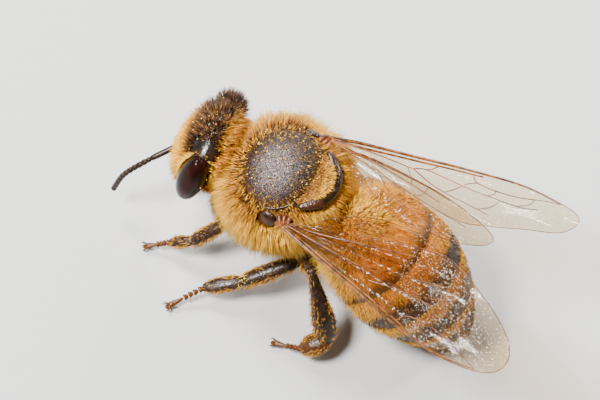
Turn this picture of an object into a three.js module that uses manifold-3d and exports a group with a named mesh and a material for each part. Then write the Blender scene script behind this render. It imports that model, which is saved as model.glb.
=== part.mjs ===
// A honey bee worker at life size, standing still on its six feet.
// Millimetres, +Z up. It faces -Y, its left side is +X, and the floor is z = 0.
// The head, thorax and abdomen reach out to the tips of their coat of hair.
import * as THREE from "three";
import { mergeVertices } from "three/addons/utils/BufferGeometryUtils.js";
import Module from "manifold-3d";

const wasm = await Module();
wasm.setup();

// Driving dimensions. Angles are in degrees.
const GAP = 0.05; // clear space between neighbouring pieces
const PLATE = 0.5; // thickness of a wing and of a feeler
const SOCKET = 0.15; // how far a rod starts inside the piece it grows from

const THORAX = { width: 5.2, front: 2.35, back: 2.4, top: 2.0, bottom: 2.2 };
const THORAX_HEIGHT = 4.15; // its centre above the floor
const THORAX_PITCH = -19; // head end down

const HEAD = { width: 3.8, front: 1.3, back: 0.85, top: 1.65, bottom: 1.8 };
const HEAD_PLACE = [0, -2.7, 0.4];
const HEAD_PITCH = 15; // jaws forwards
const HEAD_ROLL = 8; // left side up
const CHIN = 0.45; // share of its width that the head loses at the jaws
const EYE = { width: 1.05, length: 0.95, height: 2.2, apart: 2.84, lean: 8 };

const ABDOMEN = { length: 7.3, width: 4.7, height: 4.2, bend: 38 };
const ABDOMEN_PLACE = [0, 1.95, -0.55];
const ABDOMEN_DROOP = 34; // below the thorax's axis at the waist
const ABDOMEN_SWING = 6; // towards the left
const PLATE_ENDS = [0.14, 0.32, 0.52, 0.69, 0.84]; // shares of the abdomen's length
const FATTEST = 0.75; // power that moves the fattest place forwards
const FULLNESS = 0.7; // power that rounds the abdomen out

// spread: outwards from straight back. droop: below the thorax's axis. roof: how low the leading edge is.
const WINGS = {
  forewing_left: { spread: 14.5, droop: 10.5, roof: 18, root: [1.8, 0.89, 0.81] },
  forewing_right: { spread: 13, droop: 10.5, roof: 32, root: [-1.6, 0.9, 0.75] },
  hindwing_left: { spread: 1, droop: 12, roof: 14, root: [1.7, 1.35, 0.5] },
  hindwing_right: { spread: 0, droop: 12.5, roof: 24, root: [-1.55, 1.35, 0.48] },
};

// Outlines: distance from the root, then distance ahead of the line from the root to the tip.
const FOREWING = [
  [0, 0.12],
  [3.5, 0.13],
  [5.5, 0.14],
  [6.9, -0.02],
  [8.1, -0.42],
  [8.7, -0.9],
  [8.72, -1.35],
  [8.2, -1.95],
  [7.1, -2.42],
  [5.1, -2.8],
  [4.2, -2.55],
  [3.0, -1.95],
  [1.4, -1.1],
  [0, -0.3],
];
const HINDWING = [
  [0, 0.1],
  [2.0, 0.2],
  [4.0, 0.1],
  [5.3, -0.15],
  [5.95, -0.6],
  [5.6, -1.25],
  [3.6, -1.9],
  [2.2, -1.75],
  [0.8, -1.1],
  [0, -0.15],
];

const FEELERS = {
  left: {
    root: [0.35, -0.9, 0.05],
    elbow: [1.13, -1.63, -0.55],
    middle: [1.6, -2.2, -1.5],
    tip: [1.75, -2.35, -2.6],
  },
  right: {
    root: [-0.35, -0.9, 0.05],
    elbow: [-0.5, -1.2, -1.3],
    middle: [-0.5, -1.15, -2.1],
    tip: [-0.45, -0.9, -2.9],
  },
};

// The joints of each leg, over the floor: the heel is the far end of the shin, and the ankle is the
// end of the long first joint of the foot.
const LEGS = {
  fore_left: {
    hip: [0.6, -1.8, 1.75],
    knee: [1.55, -1.03, 2.1],
    heel: [2.33, -1.67, 1.15],
    ankle: [2.55, -2.3, 0.62],
    toe: [2.95, -2.95, 0.04],
  },
  fore_right: {
    hip: [-0.6, -1.8, 1.75],
    knee: [-1.67, -1.1, 2.1],
    heel: [-2.3, -1.8, 1.15],
    ankle: [-2.4, -2.45, 0.62],
    toe: [-2.5, -3.2, 0.04],
  },
  mid_left: {
    hip: [0.95, 0, 1.85],
    knee: [1.28, 1.87, 2.05],
    heel: [2.67, 0.49, 1.15],
    ankle: [3.39, -0.58, 0.6],
    toe: [4.45, -1.35, 0.04],
  },
  mid_right: {
    hip: [-0.95, 0, 1.85],
    knee: [-1.95, 1.35, 2.5],
    heel: [-3.0, 0.7, 1.2],
    ankle: [-3.35, -0.15, 0.6],
    toe: [-3.65, -1.1, 0.04],
  },
  hind_left: {
    hip: [0.8, 1.55, 2.5],
    knee: [1.95, 2.3, 3.05],
    heel: [3.0, 3.9, 1.05],
    ankle: [3.61, 3.31, 0.6],
    toe: [3.75, 2.4, 0.04],
  },
  hind_right: {
    hip: [-0.8, 1.55, 2.5],
    knee: [-1.9, 2.4, 3.0],
    heel: [-2.6, 4.0, 1.1],
    ankle: [-2.5, 5.0, 0.6],
    toe: [-2.2, 5.8, 0.04],
  },
};
// Radii along each joint of a leg.
const BUILDS = {
  fore: { coxa: 0.34, femur: [0.25, 0.32, 0.27], tibia: [0.25, 0.29, 0.29, 0.26], foot: [0.25, 0.28, 0.26] },
  mid: { coxa: 0.36, femur: [0.26, 0.34, 0.3], tibia: [0.25, 0.31, 0.34, 0.3], foot: [0.3, 0.35, 0.3] },
  hind: { coxa: 0.38, femur: [0.26, 0.36, 0.32], tibia: [0.26, 0.38, 0.5, 0.44], foot: [0.36, 0.42, 0.36] },
};
const TOE = 0.26; // radius of the foot's last joints

const degrees = THREE.MathUtils.degToRad;
const vector = (place) => new THREE.Vector3(...place);
const sides = { left: 1, right: -1 };

function finish(color, roughness) {
  return new THREE.MeshStandardMaterial({ color, roughness, metalness: 0 });
}

const coatFinish = () => finish(0xc08a3e, 0.9);
const shellFinish = () => finish(0x2a1a10, 0.35);
const bandFinish = () => finish(0x8a5a24, 0.5);
const eyeFinish = () => finish(0x1a0d0a, 0.15);
const legFinish = () => finish(0x2b1c12, 0.35);
const footFinish = () => finish(0x7a4424, 0.45);
const feelerFinish = () => finish(0x2e2014, 0.5);
const wingFinish = () => finish(0xb9a27a, 0.2);

// Body frames: x is to the left, y is backwards and z is up.
const bee = new THREE.Group();

function frame(parent, place, pitch, swing = 0, roll = 0) {
  const made = new THREE.Group();
  made.position.set(...place);
  made.rotation.set(-degrees(pitch), -degrees(roll), -degrees(swing), "ZXY");
  parent.add(made);
  return made;
}

const thoraxFrame = frame(bee, [0, 0, THORAX_HEIGHT], THORAX_PITCH);
const headFrame = frame(thoraxFrame, HEAD_PLACE, HEAD_PITCH, 0, HEAD_ROLL);
const abdomenFrame = frame(thoraxFrame, ABDOMEN_PLACE, ABDOMEN_DROOP, ABDOMEN_SWING);

// Every piece: its frame, its finish, a shape that can be grown all over, and the pieces that cut it.
const pieces = new Map();

function piece(name, holder, material, shape, cutBy = []) {
  pieces.set(name, { holder, material, shape, cutBy });
}

// Moves every vertex of a geometry.
function reshaped(geometry, move) {
  const places = geometry.getAttribute("position");
  const point = new THREE.Vector3();
  for (let i = 0; i < places.count; i++) {
    point.fromBufferAttribute(places, i);
    move(point);
    places.setXYZ(i, point.x, point.y, point.z);
  }
  return geometry;
}

// A round body with its poles at the front and back, and its own reach each way.
function roundedBody({ width, front, back, top, bottom }, grow) {
  return reshaped(new THREE.SphereGeometry(1, 20, 12), (p) => {
    p.x *= width / 2 + grow;
    p.y *= (p.y < 0 ? front : back) + grow;
    p.z *= (p.z < 0 ? bottom : top) + grow;
  });
}

function ellipsoid(size, grow) {
  const [x, y, z] = size.map((full) => full / 2 + grow);
  return new THREE.SphereGeometry(1, 14, 10).scale(x, y, z);
}

// A rod with tapered ends from one place to another. Its radii are spread evenly along it, and its
// section is flattened at right angles to the direction given.
function rod(from, to, radii, grow, flat = 1, across = [0, 0, 1]) {
  const axis = vector(to).sub(vector(from));
  const length = axis.length() + SOCKET;
  axis.normalize();
  const start = vector(from).addScaledVector(axis, -SOCKET);
  const profile = [new THREE.Vector2(0, -grow)];
  const last = radii.length - 1;
  radii.forEach((radius, i) => {
    const taper = i === 0 ? radius * 0.3 : i === last ? -radius * 0.3 : 0;
    profile.push(new THREE.Vector2(radius + grow, (length * i) / last + taper));
  });
  profile.push(new THREE.Vector2(0, length + grow));
  const x = vector(across).cross(axis).normalize();
  const z = new THREE.Vector3().crossVectors(x, axis);
  const place = new THREE.Matrix4().makeBasis(x, axis, z).setPosition(start);
  return new THREE.LatheGeometry(profile, 8).scale(1, 1, flat).applyMatrix4(place);
}

// A place on the spine of the abdomen, with the directions along it and out of its back.
function spineAt(share) {
  const bend = degrees(ABDOMEN.bend);
  const radius = ABDOMEN.length / bend;
  const angle = bend * share;
  return {
    place: new THREE.Vector3(0, radius * Math.sin(angle), -radius * (1 - Math.cos(angle))),
    along: new THREE.Vector3(0, Math.cos(angle), -Math.sin(angle)),
    up: new THREE.Vector3(0, Math.sin(angle), Math.cos(angle)),
  };
}

// The whole abdomen: a sphere drawn out along the spine.
function abdomenShape(grow) {
  return reshaped(new THREE.SphereGeometry(1, 22, 18), (p) => {
    const share = Math.acos(THREE.MathUtils.clamp(-p.y, -1, 1)) / Math.PI;
    const ring = Math.max(Math.hypot(p.x, p.z), 1e-6);
    const fat = Math.sin(Math.PI * share ** FATTEST) ** FULLNESS;
    const x = (p.x / ring) * ((ABDOMEN.width / 2) * fat + grow);
    const z = (p.z / ring) * ((ABDOMEN.height / 2) * fat + grow);
    const { place, up } = spineAt(share);
    p.copy(place).addScaledVector(up, z);
    p.x += x;
  });
}

function addTrunk() {
  const shell = shellFinish();
  const scutellum = (grow) => ellipsoid([2.5, 1.25, 1.0], grow).rotateX(degrees(-20)).translate(0, 1.6, 1.15);
  const neck = (grow) => rod([0, -1.6, -0.2], [0, -2.45, -0.2], [0.55, 0.5], grow);
  const waist = (grow) => rod([0, 1.8, -0.75], [0.05, 2.75, -1.0], [0.45, 0.42], grow);
  piece("thorax", thoraxFrame, coatFinish(), (grow) => roundedBody(THORAX, grow), ["scutellum", "neck"]);
  piece("scutellum", thoraxFrame, shell, scutellum);
  piece("neck", thoraxFrame, shell, neck);
  piece("waist", thoraxFrame, shell, waist, ["thorax"]);
}

function addHead() {
  const shape = (grow) =>
    reshaped(roundedBody(HEAD, grow), (p) => {
      const low = Math.max(0, -p.z / HEAD.bottom);
      p.x *= 1 - CHIN * low * low;
    });
  const tongue = (grow) => rod([0, -0.15, -1.5], [0, 0.35, -2.6], [0.36, 0.26], grow);
  piece("head", headFrame, coatFinish(), shape, ["thorax", "neck", "eye_left", "eye_right"]);
  piece("tongue", headFrame, shellFinish(), tongue, ["head", "jaw_left", "jaw_right"]);
}

function addEyeAndJaw(word) {
  const side = sides[word];
  const eye = (grow) =>
    ellipsoid([EYE.width, EYE.length, EYE.height], grow)
      .rotateY(degrees(-EYE.lean) * side)
      .translate((EYE.apart / 2) * side, -0.1, 0.12);
  const jaw = (grow) => {
    return rod([0.75 * side, -0.5, -1.25], [0.28 * side, -0.75, -2.15], [0.3, 0.26], grow, 0.85);
  };
  piece(`eye_${word}`, headFrame, eyeFinish(), eye);
  piece(`jaw_${word}`, headFrame, shellFinish(), jaw, ["head"]);
}

// A feeler: a straight scape, then a curved flagellum.
function addFeeler(word) {
  const { root, elbow, middle, tip } = FEELERS[word];
  const scape = (grow) => rod(root, elbow, [PLATE / 2, PLATE / 2], grow);
  const flagellum = (grow) => {
    const section = new THREE.Shape();
    section.absarc(0, 0, PLATE / 2 + grow, 0, Math.PI * 2, true);
    const route = new THREE.CatmullRomCurve3([elbow, middle, tip].map(vector));
    return new THREE.ExtrudeGeometry(section, { extrudePath: route, steps: 6, curveSegments: 7 });
  };
  piece(`scape_${word}`, headFrame, feelerFinish(), scape, ["head"]);
  piece(`flagellum_${word}`, headFrame, feelerFinish(), flagellum, [`scape_${word}`]);
}

// The abdomen's plates are lengths of one shape, parted by planes across the spine.
function addAbdomen() {
  const edges = [0, ...PLATE_ENDS, 1];
  for (let i = 0; i < edges.length - 1; i++) {
    const name = `abdomen_${i + 1}`;
    const cutBy = i === 0 ? ["thorax", "waist", "scutellum"] : [];
    piece(name, abdomenFrame, i < 2 ? coatFinish() : bandFinish(), abdomenShape, cutBy);
    pieces.get(name).between = [edges[i], edges[i + 1]];
  }
}

function addTegula(word) {
  const side = sides[word];
  const plate = (grow) => {
    return ellipsoid([1.0, 0.9, 0.6], grow)
      .rotateY(degrees(35) * side)
      .translate(1.9 * side, 0.41, 1.38);
  };
  piece(`tegula_${word}`, thoraxFrame, shellFinish(), plate, ["thorax"]);
}

// A wing's own frame: x runs along it, y runs across it and z comes out of its top.
function wingFrame(side, { spread, droop, roof, root }) {
  const [out, down, lean] = [spread, droop, roof].map(degrees);
  const back = Math.cos(down);
  const along = new THREE.Vector3(side * Math.sin(out) * back, Math.cos(out) * back, -Math.sin(down));
  const outwards = new THREE.Vector3(side, 0, 0).addScaledVector(along, -side * along.x).normalize();
  const normal = new THREE.Vector3().crossVectors(outwards, along).multiplyScalar(side * Math.cos(lean));
  normal.addScaledVector(outwards, Math.sin(lean));
  const across = new THREE.Vector3().crossVectors(normal, along);
  const made = new THREE.Group();
  made.applyMatrix4(new THREE.Matrix4().makeBasis(along, across, normal).setPosition(...root));
  thoraxFrame.add(made);
  return made;
}

function addWing(name, outline) {
  const word = name.split("_")[1];
  const side = sides[word];
  const plate = (grow) => {
    const rim = outline.map(([u, v]) => new THREE.Vector2(u, -v * side));
    const plan = new THREE.Shape().setFromPoints(new THREE.SplineCurve(rim).getPoints(32));
    return new THREE.ExtrudeGeometry(plan, {
      depth: PLATE,
      bevelEnabled: grow > 0,
      bevelSize: grow,
      bevelThickness: grow,
      bevelSegments: 1,
    });
  };
  const above = [...pieces.keys()].filter((other) => other.includes("wing"));
  const body = ["thorax", `tegula_${word}`, "scutellum", "abdomen_1", "abdomen_2"];
  piece(name, wingFrame(side, WINGS[name]), wingFinish(), plate, [...body, ...above]);
}

function addLeg(name, { hip, knee, heel, ankle, toe }) {
  const build = BUILDS[name.split("_")[0]];
  const trunk = [hip[0] * 0.8, hip[1] + 0.1, hip[2] + 1.1];
  const leg = legFinish();
  const bodies = ["thorax", "head"];
  const [coxa, femur, tibia, metatarsus, toes] = ["coxa", "femur", "tibia", "metatarsus", "toes"].map(
    (part) => `${part}_${name}`,
  );
  piece(coxa, bee, leg, (grow) => rod(trunk, hip, [build.coxa, 0.32], grow, 1, [0, 1, 0]), bodies);
  piece(femur, bee, leg, (grow) => rod(hip, knee, build.femur, grow, 0.85), [coxa, ...bodies]);
  piece(tibia, bee, leg, (grow) => rod(knee, heel, build.tibia, grow, 0.75), [femur, "thorax"]);
  piece(metatarsus, bee, leg, (grow) => rod(heel, ankle, build.foot, grow, 0.75), [tibia]);
  piece(toes, bee, footFinish(), (grow) => rod(ankle, toe, [TOE, TOE, TOE], grow), [metatarsus]);
}

addTrunk();
addHead();
for (const word of ["left", "right"]) {
  addEyeAndJaw(word);
  addFeeler(word);
  addTegula(word);
}
addAbdomen();
for (const word of ["left", "right"]) {
  addWing(`forewing_${word}`, FOREWING);
}
for (const word of ["left", "right"]) {
  addWing(`hindwing_${word}`, HINDWING);
}
for (const [name, joints] of Object.entries(LEGS)) {
  addLeg(name, joints);
}

// A geometry as a closed solid, standing where its frame puts it.
function solidOf({ holder, shape }, grow) {
  const geometry = shape(grow);
  const loose = geometry.index ? geometry.toNonIndexed() : geometry;
  const bare = new THREE.BufferGeometry().setAttribute("position", loose.getAttribute("position"));
  const merged = mergeVertices(bare.applyMatrix4(holder.matrixWorld), 1e-4);
  return new wasm.Manifold(
    new wasm.Mesh({
      numProp: 3,
      vertProperties: merged.getAttribute("position").array,
      triVerts: new Uint32Array(merged.index.array),
    }),
  );
}

function geometryOf(solid) {
  const { vertProperties, triVerts } = solid.getMesh();
  return new THREE.BufferGeometry()
    .setAttribute("position", new THREE.BufferAttribute(new Float32Array(vertProperties), 3))
    .setIndex(new THREE.BufferAttribute(new Uint32Array(triVerts), 1))
    .toNonIndexed();
}

// What is left of a solid beyond a plane across the spine, or short of it.
function parted(solid, share, sign) {
  const { place, along } = spineAt(share);
  const origin = place.applyMatrix4(abdomenFrame.matrixWorld);
  const normal = along.transformDirection(abdomenFrame.matrixWorld).multiplyScalar(sign);
  return solid.trimByPlane(normal.toArray(), normal.dot(origin) + GAP / 2);
}

// Cuts a piece by its neighbours and the floor, and keeps its largest body.
function finishedSolid({ holder, shape, cutBy, between = [0, 1] }) {
  let solid = solidOf({ holder, shape }, 0);
  for (const other of cutBy) {
    solid = solid.subtract(solidOf(pieces.get(other), GAP));
  }
  if (between[0] > 0) {
    solid = parted(solid, between[0], 1);
  }
  if (between[1] < 1) {
    solid = parted(solid, between[1], -1);
  }
  const bodies = solid.trimByPlane([0, 0, 1], 0).decompose();
  return bodies.sort((a, b) => b.volume() - a.volume())[0];
}

bee.updateMatrixWorld(true);
for (const [name, made] of pieces) {
  const geometry = geometryOf(finishedSolid(made)).applyMatrix4(made.holder.matrixWorld.clone().invert());
  const mesh = new THREE.Mesh(geometry, made.material);
  mesh.name = name;
  made.holder.add(mesh);
}

// The origin is on the floor, under the middle of the whole bee.
const middle = new THREE.Box3().setFromObject(bee).getCenter(new THREE.Vector3());
bee.position.set(-middle.x, -middle.y, 0);

const model = new THREE.Group();
model.add(bee);
export default model;
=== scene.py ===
"""A honey bee worker at life size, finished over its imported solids.

Shapes are worked out in millimetres in the bee's own frames, where x is to its left, y is backwards and
z is up. Each piece is then put into the row frame, in metres.
"""
from math import cos, pi, radians, sin

import bmesh
import bpy
import numpy as np
from mathutils import Matrix, Vector, kdtree


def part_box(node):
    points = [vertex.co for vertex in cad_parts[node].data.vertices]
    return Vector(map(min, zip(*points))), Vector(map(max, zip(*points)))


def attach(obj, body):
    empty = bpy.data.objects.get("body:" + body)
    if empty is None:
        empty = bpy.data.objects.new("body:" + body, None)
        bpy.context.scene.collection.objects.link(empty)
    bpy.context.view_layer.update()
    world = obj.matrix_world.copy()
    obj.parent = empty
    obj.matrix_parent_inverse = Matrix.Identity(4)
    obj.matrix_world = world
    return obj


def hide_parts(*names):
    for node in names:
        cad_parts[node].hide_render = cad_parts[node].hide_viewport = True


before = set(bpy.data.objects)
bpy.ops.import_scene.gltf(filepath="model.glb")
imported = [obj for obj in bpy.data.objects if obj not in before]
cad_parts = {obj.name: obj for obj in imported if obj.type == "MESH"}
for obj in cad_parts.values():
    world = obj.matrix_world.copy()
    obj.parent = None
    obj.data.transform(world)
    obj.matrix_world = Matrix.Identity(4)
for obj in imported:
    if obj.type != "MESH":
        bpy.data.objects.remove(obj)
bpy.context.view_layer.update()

MM = 0.001
WELD = 1e-4
SIDES = {"left": 1, "right": -1}

# ---------------------------------------------------------------- frames


def frame_at(place, pitch, swing=0, roll=0):
    """A body frame: pitched with its head end up, swung to the left and rolled, in degrees."""
    turn = Matrix.Rotation(radians(-swing), 4, "Z") @ Matrix.Rotation(radians(-pitch), 4, "X")
    return Matrix.Translation(place) @ turn @ Matrix.Rotation(radians(-roll), 4, "Y")


THORAX_IN_BEE = frame_at((0, 0, 4.15), -19)
HEAD_IN_BEE = THORAX_IN_BEE @ frame_at((0, -2.7, 0.4), 15, 0, 8)
ABDOMEN_IN_BEE = THORAX_IN_BEE @ frame_at((0, 1.95, -0.55), 34, 6)
EYE_PLACE = {word: Vector((1.42 * side, -0.1, 0.12)) for word, side in SIDES.items()}


def row_from_bee():
    """Millimetres in the bee's frame to metres in the row frame, found from the two eyes' solids."""
    offset = Vector()
    for word, place in EYE_PLACE.items():
        low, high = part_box(f"eye_{word}")
        offset += ((low + high) / 2 / MM - HEAD_IN_BEE @ place) / 2
    return Matrix.Scale(MM, 4) @ Matrix.Translation(offset)


BEE = row_from_bee()
THORAX = BEE @ THORAX_IN_BEE
HEAD = BEE @ HEAD_IN_BEE
ABDOMEN = BEE @ ABDOMEN_IN_BEE

# ---------------------------------------------------------------- sizes, in millimetres and degrees

CHEST = {"side": 1.85, "front": 1.72, "back": 1.75, "top": 1.8, "bottom": 1.6}
DISC = {"x": 1.52, "y": 1.27}
SKULL = {"side": 1.66, "front": 0.92, "back": 0.6, "top": 1.42, "bottom": 1.55}
EYE = {"size": (0.525, 0.475, 1.1), "lean": 8}
SPINE = {"length": 7.3, "bend": radians(38)}
BELLY = {"x": 2.06, "z": 1.82, "fattest": 0.75, "fullness": 0.7}
PLATE_ENDS = (0, 0.14, 0.32, 0.52, 0.69, 0.84, 1)

WINGS = {
    "forewing_left": {"spread": 14.5, "droop": 10.5, "roof": 18, "root": (1.8, 0.89, 0.81)},
    "forewing_right": {"spread": 13, "droop": 10.5, "roof": 32, "root": (-1.6, 0.9, 0.75)},
    "hindwing_left": {"spread": 1, "droop": 12, "roof": 14, "root": (1.7, 1.35, 0.5)},
    "hindwing_right": {"spread": 0, "droop": 12.5, "roof": 24, "root": (-1.55, 1.35, 0.48)},
}
WING_MIDDLE = 0.25  # height of the membrane in the wing's own frame
MEMBRANE_THICKNESS = 0.012
VEIN_LIFT = 0.008

# Edges of a wing: distance from the root, then distance ahead of the line from the root to the tip.
FOREWING = {
    "front": ((0, 0.06), (3.5, 0.1), (5.5, 0.12), (6.9, -0.04), (8.1, -0.44), (8.6, -0.85), (8.7, -1.15)),
    "back": ((0, -0.16), (1.4, -0.95), (3.0, -1.85), (4.2, -2.45), (5.1, -2.72), (7.1, -2.36), (8.2, -1.9),
             (8.6, -1.5), (8.7, -1.15)),
}
HINDWING = {
    "front": ((0, 0.05), (2.0, 0.15), (4.0, 0.06), (5.3, -0.2), (5.8, -0.5), (5.9, -0.75)),
    "back": ((0, -0.12), (0.8, -0.95), (2.2, -1.65), (3.6, -1.8), (5.0, -1.45), (5.7, -1.1), (5.9, -0.75)),
}
# Veins: thickness of the root end and the tip, then places as in the edges.
FOREWING_VEINS = {
    "costa": (0.12, 0.04, (0, 0.0), (1.5, 0.04), (3.5, 0.06), (5.5, 0.08), (6.9, -0.08), (8.0, -0.45)),
    "radius": (0.1, 0.06, (0.05, -0.07), (1.5, -0.06), (3.6, -0.05), (5.3, -0.02)),
    "medial": (0.07, 0.04, (0.05, -0.12), (1.5, -0.36), (2.95, -0.66)),
    "basal": (0.045, 0.045, (2.95, -0.66), (3.3, -0.46), (3.75, -0.06)),
    "discoidal": (0.045, 0.03, (3.34, -0.44), (4.4, -0.85), (5.4, -1.1), (6.6, -1.22), (7.3, -1.1)),
    "sector": (0.045, 0.03, (4.95, -0.04), (5.1, -0.34), (5.7, -0.56), (6.7, -0.62), (7.5, -0.5),
               (7.95, -0.46)),
    "first_cross": (0.035, 0.035, (4.72, -0.9), (4.9, -0.6), (5.12, -0.36)),
    "second_cross": (0.035, 0.035, (5.55, -1.12), (5.75, -0.9), (5.78, -0.57)),
    "third_cross": (0.035, 0.035, (6.55, -1.22), (6.95, -0.95), (7.1, -0.6)),
    "cubital": (0.05, 0.03, (2.95, -0.66), (3.9, -1.2), (4.9, -1.62), (5.7, -2.0)),
    "recurrent": (0.035, 0.035, (4.1, -1.3), (4.45, -1.1), (4.7, -0.92)),
    "outer_recurrent": (0.035, 0.03, (5.3, -1.8), (5.8, -1.5), (6.0, -1.18)),
    "anal": (0.06, 0.04, (0.05, -0.16), (1.2, -0.62), (2.6, -1.3), (4.1, -2.05)),
    "anal_cross": (0.035, 0.035, (2.75, -0.62), (2.95, -1.0), (3.0, -1.5)),
}
HINDWING_VEINS = {
    "costa": (0.06, 0.03, (0, 0.0), (1.5, 0.08), (3.0, 0.1), (4.0, 0.02)),
    "medial": (0.05, 0.025, (0, -0.05), (1.4, -0.3), (2.8, -0.55), (4.9, -0.8)),
    "cross": (0.03, 0.03, (2.8, -0.55), (3.05, -0.25), (3.15, 0.08)),
    "cubital": (0.04, 0.02, (1.4, -0.3), (2.1, -0.8), (3.3, -1.35)),
    "anal": (0.04, 0.02, (0, -0.1), (1.0, -0.75), (1.9, -1.35)),
}

FEELERS = {
    "left": ((0.35, -0.9, 0.05), (1.13, -1.63, -0.55), (1.6, -2.2, -1.5), (1.75, -2.35, -2.55)),
    "right": ((-0.35, -0.9, 0.05), (-0.5, -1.2, -1.3), (-0.5, -1.15, -2.1), (-0.45, -0.9, -2.85)),
}

# Hip, knee, heel, ankle and toe of each leg, in the bee's frame.
LEGS = {
    "fore_left": ((0.6, -1.8, 1.75), (1.55, -1.03, 2.1), (2.33, -1.67, 1.15), (2.55, -2.3, 0.62),
                  (2.95, -2.95, 0.04)),
    "fore_right": ((-0.6, -1.8, 1.75), (-1.67, -1.1, 2.1), (-2.3, -1.8, 1.15), (-2.4, -2.45, 0.62),
                   (-2.5, -3.2, 0.04)),
    "mid_left": ((0.95, 0, 1.85), (1.28, 1.87, 2.05), (2.67, 0.49, 1.15), (3.39, -0.58, 0.6),
                 (4.45, -1.35, 0.04)),
    "mid_right": ((-0.95, 0, 1.85), (-1.95, 1.35, 2.5), (-3.0, 0.7, 1.2), (-3.3, -0.15, 0.6),
                  (-3.52, -1.06, 0.04)),
    "hind_left": ((0.8, 1.55, 2.5), (1.95, 2.3, 3.05), (3.0, 3.9, 1.05), (3.61, 3.31, 0.6),
                  (3.75, 2.4, 0.04)),
    "hind_right": ((-0.8, 1.55, 2.5), (-1.9, 2.4, 3.0), (-2.6, 4.0, 1.1), (-2.5, 5.0, 0.6),
                   (-2.2, 5.8, 0.04)),
}
# Radii along each length of a leg.
LEG_RADII = {
    "fore": {"coxa": (0.3, 0.24, 0.2), "femur": (0.13, 0.25, 0.22, 0.15), "tibia": (0.13, 0.22, 0.24, 0.19),
             "metatarsus": (0.13, 0.19, 0.19, 0.14)},
    "mid": {"coxa": (0.32, 0.25, 0.22), "femur": (0.14, 0.27, 0.25, 0.17), "tibia": (0.15, 0.25, 0.29, 0.23),
            "metatarsus": (0.15, 0.25, 0.25, 0.16)},
    "hind": {"coxa": (0.34, 0.26, 0.22), "femur": (0.14, 0.29, 0.28, 0.18), "tibia": (0.14, 0.26, 0.41, 0.38),
             "metatarsus": (0.24, 0.38, 0.37, 0.2)},
}
LEG_FLAT = {"coxa": 1.0, "femur": 0.85, "tibia": 0.7, "metatarsus": 0.6}

# ---------------------------------------------------------------- small tools


def smooth(low, high, value):
    """0 below low, 1 above high, and a smooth step between them."""
    share = np.clip((value - low) / (high - low), 0, 1)
    return share * share * (3 - 2 * share)


def bell(value, width):
    """1 where value is 0, falling away on both sides of it."""
    return np.exp(-((value / width) ** 2))


def unit(vectors):
    """Vectors in rows, each made one long."""
    return vectors / np.maximum(np.linalg.norm(vectors, axis=-1, keepdims=True), 1e-9)


def moved(points, matrix):
    """Points in rows, moved by a matrix."""
    turn = np.array(matrix)
    return points @ turn[:3, :3].T + turn[:3, 3]


def points_of(made, matrix):
    """A piece's vertices in the frame of matrix."""
    flat = np.empty(len(made.data.vertices) * 3)
    made.data.vertices.foreach_get("co", flat)
    return moved(flat.reshape(-1, 3), matrix.inverted())


def mark(made, matrix, **rules):
    """Stores a number at each vertex for each rule, worked out from its place in the frame of matrix."""
    points = points_of(made, matrix)
    for name, rule in rules.items():
        layer = made.data.attributes.new(name, "FLOAT", "POINT")
        layer.data.foreach_set("value", np.asarray(rule(points), np.float32))


def flowing(path):
    """A smooth curve through the points of a path, as a function of the share of its length."""
    points = [Vector(p) for p in path]
    steps = [0.0]
    for a, b in zip(points, points[1:]):
        steps.append(steps[-1] + (b - a).length)
    last = len(points) - 1
    slopes = []
    for i in range(len(points)):
        a, b = max(i - 1, 0), min(i + 1, last)
        slopes.append((points[b] - points[a]) / (steps[b] - steps[a]))

    def at(share):
        travelled = min(max(share, 0), 1) * steps[-1]
        i = min(max(int(np.searchsorted(steps, travelled, "right")) - 1, 0), last - 1)
        span = steps[i + 1] - steps[i]
        t = (travelled - steps[i]) / span
        return (
            points[i] * (2 * t**3 - 3 * t**2 + 1)
            + slopes[i] * span * (t**3 - 2 * t**2 + t)
            + points[i + 1] * (3 * t**2 - 2 * t**3)
            + slopes[i + 1] * span * (t**3 - t**2)
        )

    return at


def mirrored(path, side):
    """A path of the left side, or its mirror image for the right side, where side is -1."""
    return [Vector((x * side, y, z)) for x, y, z in path]


def stretched(direction, radii):
    """The point of an ellipsoid in a direction from its middle."""
    return Vector([radius * share for radius, share in zip(radii, direction)])


def bend_grid(bm, place, along, around):
    """Adds a grid bent into a surface: place turns two shares into a point. Points that meet are joined."""
    made = bmesh.ops.create_grid(bm, x_segments=along, y_segments=around, size=0.5)["verts"]
    for vert in made:
        vert.co = place(vert.co.x + 0.5, vert.co.y + 0.5)
    bmesh.ops.remove_doubles(bm, verts=made, dist=WELD)


def ball(bm, place, along=32, around=48):
    """Adds a closed round body: place turns a direction, with its poles on y, into a point."""

    def point(u, v):
        ring = sin(pi * u)
        turn = 2 * pi * v
        return place(Vector((ring * sin(turn), -cos(pi * u), ring * cos(turn))))

    bend_grid(bm, point, along, around)


def rod(bm, path, radii, flat=1.0, around=14, along=16, blunt=6, up=(0, 0, 1)):
    """Adds a closed rod along a path, with radii spread evenly along it, thinner across than it is wide."""
    at = flowing(path)
    spread = np.linspace(0, 1, len(radii))

    def point(u, v):
        share = 0.5 - 0.5 * cos(pi * u)
        axis = (at(share + 0.01) - at(share - 0.01)).normalized()
        wide = Vector(up).cross(axis)
        wide = wide.normalized() if wide.length > 1e-3 else Vector((1, 0, 0))
        thin = wide.cross(axis)
        end = max(1 - abs(2 * share - 1) ** blunt, 0) ** (1 / blunt)
        radius = float(np.interp(share, spread, radii)) * end
        turn = 2 * pi * v
        return at(share) + wide * (radius * cos(turn)) + thin * (radius * flat * sin(turn))

    bend_grid(bm, point, along, around)


def add_object(name, data):
    """Puts a mesh, a lamp or a camera in the scene."""
    made = bpy.data.objects.new(name, data)
    bpy.context.collection.objects.link(made)
    return made


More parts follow.
